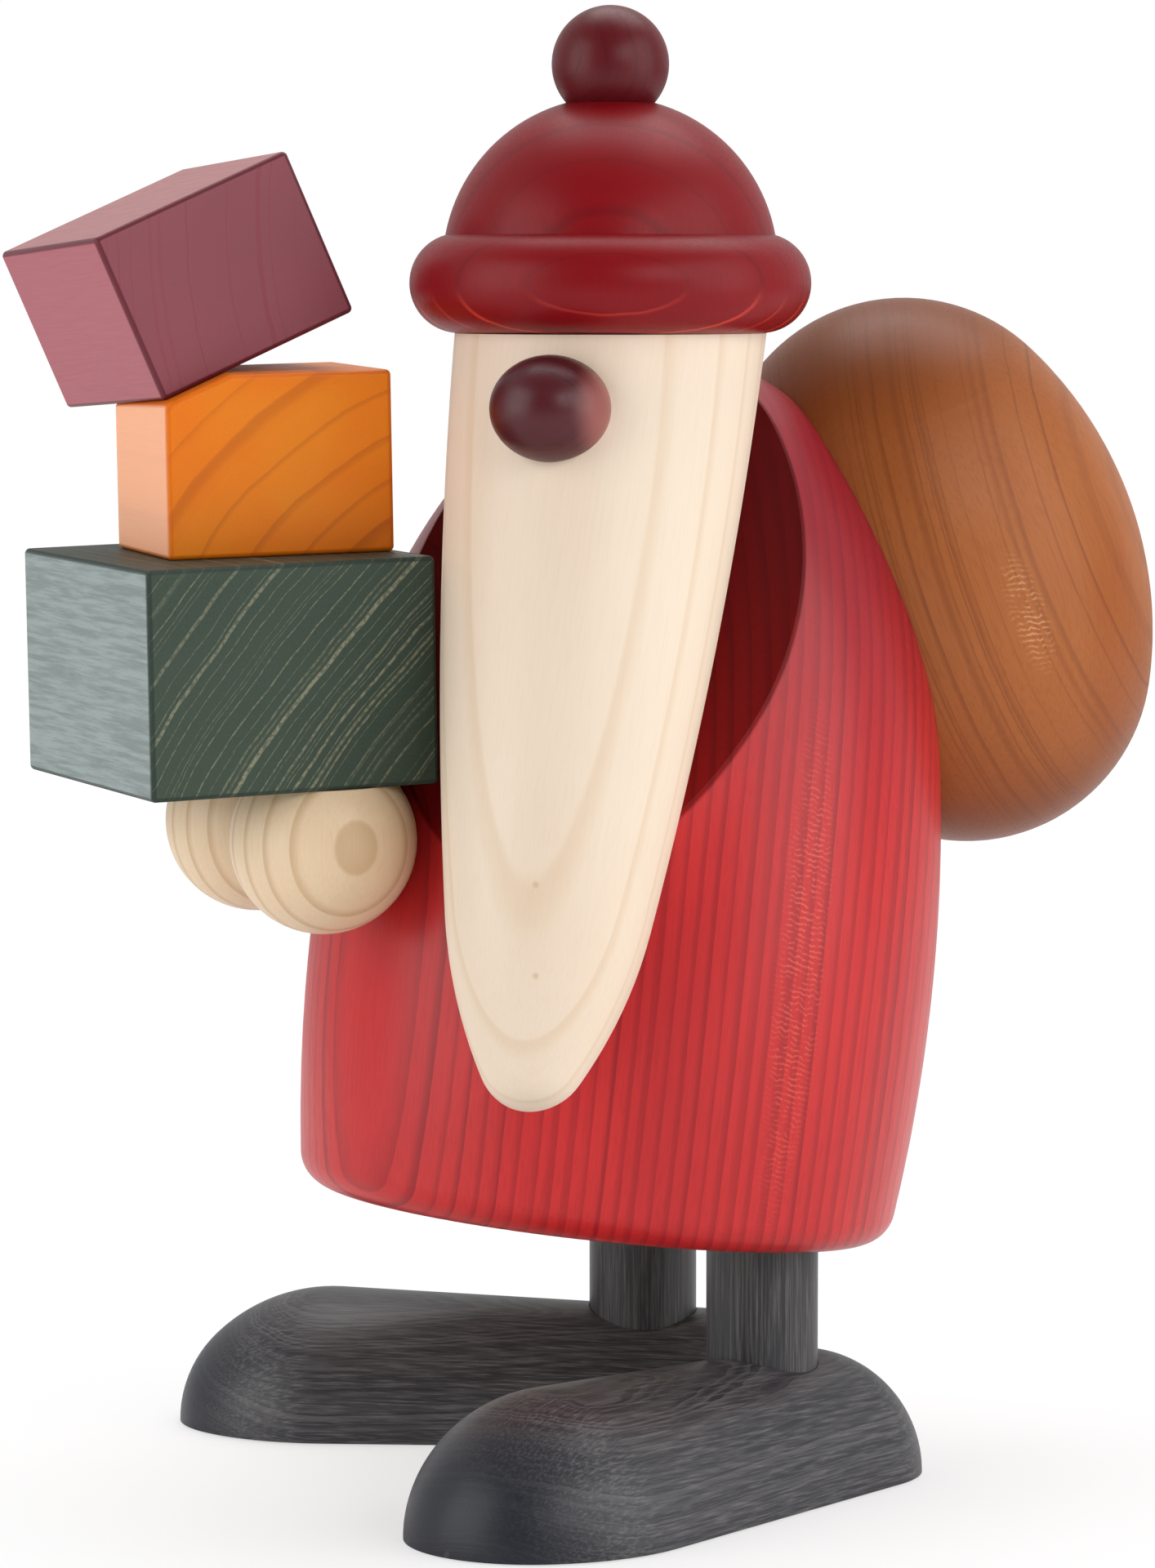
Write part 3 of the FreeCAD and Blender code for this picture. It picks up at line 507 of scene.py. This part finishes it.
# Head and nose
# One long turned form for face and beard, in pale wood under clear lacquer, with a dark
# glossy bead let in as the nose. Two growth rings run out as long loops in front.
HEAD_SLOPE = math.radians(19.3)
BEARD_DOWN = FACE * math.sin(HEAD_SLOPE) - UP * math.cos(HEAD_SLOPE)
BEARD_AWAY, BEARD_SIDE, _ = turn_of(BEARD_DOWN, AHEAD).transposed()
PIN_KNOTS = (Vector((0.0505, -0.0323, 0.0822)), Vector((0.0517, -0.0328, 0.0712)))
PAINTED_SHEEN_TOWARDS = ASIDE - AHEAD * 0.25
head = StainedWood(
    "beard_wood",
    pith=CAP_POINT + BEARD_AWAY * 0.0304 + BEARD_SIDE * 0.0103,
    trunk=BEARD_DOWN + BEARD_AWAY * 0.063 - BEARD_SIDE * 0.033,
    towards=AHEAD,
    base=(0.755, 0.615, 0.480),
    late=(0.58, 0.38, 0.20),
    cloud=(0.80, 0.69, 0.56),
    ring=4.25,
    shift=0.434,
    bunching=0.0,
    evenness=0.75,
    wander=0.15,
    late_share=0.30,
    late_strength=0.36,
    fibre_strength=0.10,
    roughness=0.44,
)
for knot in PIN_KNOTS:
    off = head.tree.vector("DISTANCE", head.tree.here(), knot)
    head.tint(head.tree.step(off, 0.1 * MM, 0.6 * MM, 1.0, 0.0), 0.45, (0.48, 0.27, 0.12))
head.dress("head")
nose = StainedWood(
    "nose_stain",
    pith=CAP_POINT,
    trunk=UP,
    towards=(1, 0, 0),
    base=(0.068, 0.006, 0.010),
    late=(0.030, 0.003, 0.005),
    cloud=(0.090, 0.008, 0.012),
    ring=2.2,
    roughness=0.40,
    coat=0.14,
    coat_roughness=0.32,
)
nose_low, nose_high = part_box("nose")
# The nose's side towards the right lamp is painted a lighter red: a painted sheen of that lamp.
spot = nose.tree.vector("SUBTRACT", nose.tree.here(), (nose_low + nose_high) / 2)
painted_sheen = nose.tree.vector("DOT_PRODUCT", spot, PAINTED_SHEEN_TOWARDS)
nose.tint(nose.tree.step(painted_sheen, 4.0 * MM, 7.2 * MM), 0.85, (0.300, 0.085, 0.072))
nose.dress("nose")


# Cap and bobble
# A domed cap with a fat rolled brim turned from one block, and a turned ball on its flat top.
# The deep wine stain takes less on the end grain under the brim, so the rings glow there.
CAP_PITH_BEHIND = 0.045
BOBBLE_PITH_BEHIND = 0.012
BRIM_GLOW_LIMITS = (CAP_POINT.z + 0.0015, CAP_POINT.z + 0.0065)
cap = StainedWood(
    "cap_stain",
    pith=CAP_POINT + AHEAD * CAP_PITH_BEHIND,
    trunk=(0.03, 0.02, 1),
    towards=AHEAD,
    base=(0.190, 0.0022, 0.0055),
    late=(0.085, 0.0015, 0.0035),
    cloud=(0.265, 0.0040, 0.0075),
    ring=4.2,
    wander=1.0,
    late_share=0.22,
    bunching=1.0,
    evenness=0.6,
    late_strength=0.35,
    fibre_strength=0.20,
    gloss=0.16,
    coat=0.07,
)
t = cap.tree
under = t.step(t.vector("DOT_PRODUCT", t.here(), UP), *BRIM_GLOW_LIMITS, 1.0, 0.0)
cap.tint(t.math("MULTIPLY", cap.rings, under), 0.75, (0.62, 0.050, 0.030))
cap.dress("cap")
bobble = StainedWood(
    "bobble_stain",
    pith=CAP_POINT + AHEAD * BOBBLE_PITH_BEHIND,
    trunk=(0.3, 0.2, 1),
    towards=AHEAD,
    base=(0.100, 0.0045, 0.0075),
    late=(0.050, 0.0020, 0.0040),
    cloud=(0.150, 0.0060, 0.0090),
    ring=2.4,
    wander=1.0,
    late_share=0.30,
    late_strength=0.40,
    gloss=0.20,
)
bobble.dress("bobble")


# Hands
# Two balls with flats on top for the presents, in pale wood under clear lacquer. Their rings
# show as upright circles round the spot where the ball just reaches into one ring.
HAND_SPOT = Vector((0.9995, 0.0315, 0.0)).normalized()
HAND_PITH_AWAY = 0.040
for side, shift in (("left", 0.02), ("right", 0.45)):
    low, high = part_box(f"{side}_hand")
    hand = StainedWood(
        f"{side}_hand_wood",
        pith=(low + high) / 2 + HAND_SPOT * HAND_PITH_AWAY,
        trunk=UP,
        towards=HAND_SPOT,
        base=(0.74, 0.56, 0.37),
        late=(0.44, 0.25, 0.105),
        cloud=(0.78, 0.62, 0.44),
        ring=3.6,
        shift=shift,
        bunching=0.0,
        evenness=0.85,
        wander=0.30,
        late_share=0.38,
        late_strength=0.55,
        fibre_strength=0.12,
        roughness=0.44,
    )
    hand.dress(f"{side}_hand")


# Presents
# Three sawn blocks, glued and pinned in a tilted stack, their edges just broken. The near side
# of each is end grain with curved rings, and the left side is sawn long grain, paler, with a
# painted sheen in its colour too.


def side_of(name, towards):
    """The direction and the middle of the flat side of a block that looks towards a direction."""
    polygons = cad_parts[name].data.polygons
    normals = np.array([polygon.normal for polygon in polygons])
    areas = np.array([polygon.area for polygon in polygons])
    centres = np.array([polygon.center for polygon in polygons])
    largest = np.argmax(areas * (normals @ np.array(towards) > 0.75))
    same = normals @ normals[largest] > 0.9999
    middle = (centres[same] * areas[same, None]).sum(0) / areas[same].sum()
    return Vector(normals[largest]), Vector(middle)


def broken_edges(t, *directions):
    """1 on the rounded edges of a block whose sides look in the given directions."""
    most = 0.0
    for direction in directions:
        turned = t.math("ABSOLUTE", t.vector("DOT_PRODUCT", t.here("Normal"), direction))
        most = t.math("MAXIMUM", most, turned)
    return t.step(most, 0.975, 0.998, 1.0, 0.0)


def block_wood(name, node, pith_right, pith_down, **grain):
    """The wood of a sawn block, its rings round a pith to the right of and below its near side."""
    near, middle = side_of(node, (1, 0, 0))
    left, _ = side_of(node, (0, -1, 0))
    up = left.cross(near)
    pith = middle - left * pith_right - up * pith_down
    return (near, left, up), StainedWood(name, pith, near, up, **grain)


GREEN = (0.040, 0.062, 0.044)
sides, green = block_wood(
    "green_stain",
    "green_present",
    pith_right=0.110,
    pith_down=0.092,
    base=GREEN,
    late=(0.255, 0.255, 0.170),
    cloud=(0.028, 0.048, 0.036),
    ring=1.8,
    wander=1.4,
    late_share=0.34,
    bunching=2.2,
    late_strength=0.95,
    fibre_strength=0.10,
    cloud_strength=0.6,
    roughness=0.52,
    gloss=0.20,
    coat=0.0,
    relief=0.15,
)
t = green.tree
on_left = facing(t, sides[1])
torn = t.noise(green.place, (1.5, 1.0, 0.10), detail=4.0, roughness=0.65)
green.tint(t.step(t.noise(green.place, (1.5, 1.5, 0.4)), 0.42, 0.60), 0.62, GREEN)
# The lighter grey-green of the left side and of its torn fibres is paler sawn wood, and partly a
# painted sheen.
green.tint(on_left, 1.0, (0.205, 0.250, 0.240))
green.tint(t.math("MULTIPLY", on_left, t.step(torn, 0.36, 0.64)), 1.0, (0.295, 0.350, 0.340))
green.tint(broken_edges(t, *sides), 0.7, (0.02, 0.035, 0.028))
rough_side = t.bump(t.math("MULTIPLY", torn, on_left), 0.6, GRAIN_DEPTH, green.relief)
t.put(green.main.inputs["Normal"], rough_side)
green.dress("green_present")

sides, orange = block_wood(
    "orange_stain",
    "orange_present",
    pith_right=0.030,
    pith_down=0.036,
    base=(0.80, 0.185, 0.002),
    late=(0.42, 0.075, 0.002),
    cloud=(0.80, 0.235, 0.006),
    ring=5.0,
    wander=1.3,
    late_share=0.34,
    bunching=0.8,
    evenness=0.50,
    late_strength=0.55,
    fibre_strength=0.10,
    cloud_strength=0.8,
    gloss=0.20,
    coat=0.05,
)
# The left side's light peach is paler long grain, and partly a painted sheen.
orange.tint(facing(orange.tree, sides[1]), 0.72, (0.96, 0.53, 0.34))
orange.tint(broken_edges(orange.tree, *sides), 0.5, (0.62, 0.12, 0.004))
orange.dress("orange_present")

sides, rose = block_wood(
    "rose_stain",
    "red_present",
    pith_right=0.060,
    pith_down=0.020,
    base=(0.235, 0.050, 0.070),
    late=(0.225, 0.020, 0.036),
    cloud=(0.185, 0.042, 0.056),
    ring=4.6,
    wander=1.3,
    late_share=0.25,
    late_strength=0.55,
    fibre_strength=0.20,
    roughness=0.48,
)
# The left side's lighter rose is paler long grain, and partly a painted sheen.
rose.tint(facing(rose.tree, sides[1]), 0.85, (0.400, 0.105, 0.130))
# The top is tinted lighter: a painted sheen of the lamp high at the back.
rose.tint(facing(rose.tree, sides[2]), 0.55, (0.520, 0.220, 0.210))
rose.tint(broken_edges(rose.tree, *sides), 0.8, (0.095, 0.006, 0.016))
rose.dress("red_present")


# Sack
# A blunt turned egg hollowed where it lies on the coat's back, stained honey brown. Its rings
# run from end to end, round one small curly knot on the side, and its ends are darker: end grain
# takes more stain, and the darkening also paints the shade next to the cap and the coat.
SACK_SLOPE = math.radians(22.1)
SACK_AXIS = Vector((0, -math.sin(SACK_SLOPE), math.cos(SACK_SLOPE)))
SACK_PITH_AWAY = 0.085
KNOT = Vector((0.02738, 0.04612, 0.11211))
KNOT_REACH = (3.0, 6.0, 10.5)
KNOT_PITCH = 0.80
sack_low, sack_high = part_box("sack")
sack = StainedWood(
    "sack_stain",
    pith=(sack_low + sack_high) / 2 - ASIDE * SACK_PITH_AWAY,
    trunk=SACK_AXIS,
    towards=ASIDE,
    base=(0.320, 0.086, 0.017),
    late=(0.140, 0.032, 0.008),
    cloud=(0.390, 0.130, 0.036),
    ring=2.7,
    wander=1.0,
    late_share=0.40,
    bunching=1.8,
    late_strength=0.55,
    cloud_strength=0.6,
    gloss=0.18,
    coat=0.05,
)
# Both ends are darkened: end grain that drinks more stain, together with painted shade from the
# cap and the coat.
sack.tint(both_ends(sack.tree, SACK_AXIS, 0.15, 0.95), 0.75, (0.150, 0.036, 0.008))
sack.tint(curly_patch(sack, KNOT, KNOT_REACH, KNOT_PITCH), 0.60, (0.66, 0.33, 0.155))
sack.dress("sack")


# Base plug and dowels
# Plain beech that nobody sees with the figure in one piece: the disc that closes the coat
# from below, and the short dowels in every joint.
dowels = [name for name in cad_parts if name.endswith("_dowel")]
beech = StainedWood(
    "plain_beech",
    pith=(0.05, 0.02, 0),
    trunk=(0.2, 1, 0.1),
    towards=UP,
    base=(0.62, 0.43, 0.26),
    late=(0.45, 0.28, 0.15),
    cloud=(0.56, 0.38, 0.22),
    ring=2.5,
    roughness=0.6,
    coat=0.0,
    relief=0.15,
)
beech.dress("base_plug", *dowels)


# Incense tray and its pin
# A pressed brass dish that a round-headed pin holds to the plug, dulled and browned by smoke.
BRASS = (0.62, 0.44, 0.17, 1)
SMOKED = (0.30, 0.19, 0.08, 1)
SMOKE_SCALE = 220.0
brass, brass_main = shader("smoked_brass", Metallic=1.0)
t = Tree(brass.node_tree)
smoke = t.noise(t.here(), (1, 1, 1), SMOKE_SCALE, detail=3.0)
t.put(brass_main.inputs["Base Color"], t.blend(t.step(smoke, 0.4, 0.7), BRASS, SMOKED))
t.put(brass_main.inputs["Roughness"], t.step(smoke, 0.3, 0.7, 0.28, 0.5))
dress(brass, "incense_tray", "tray_pin")
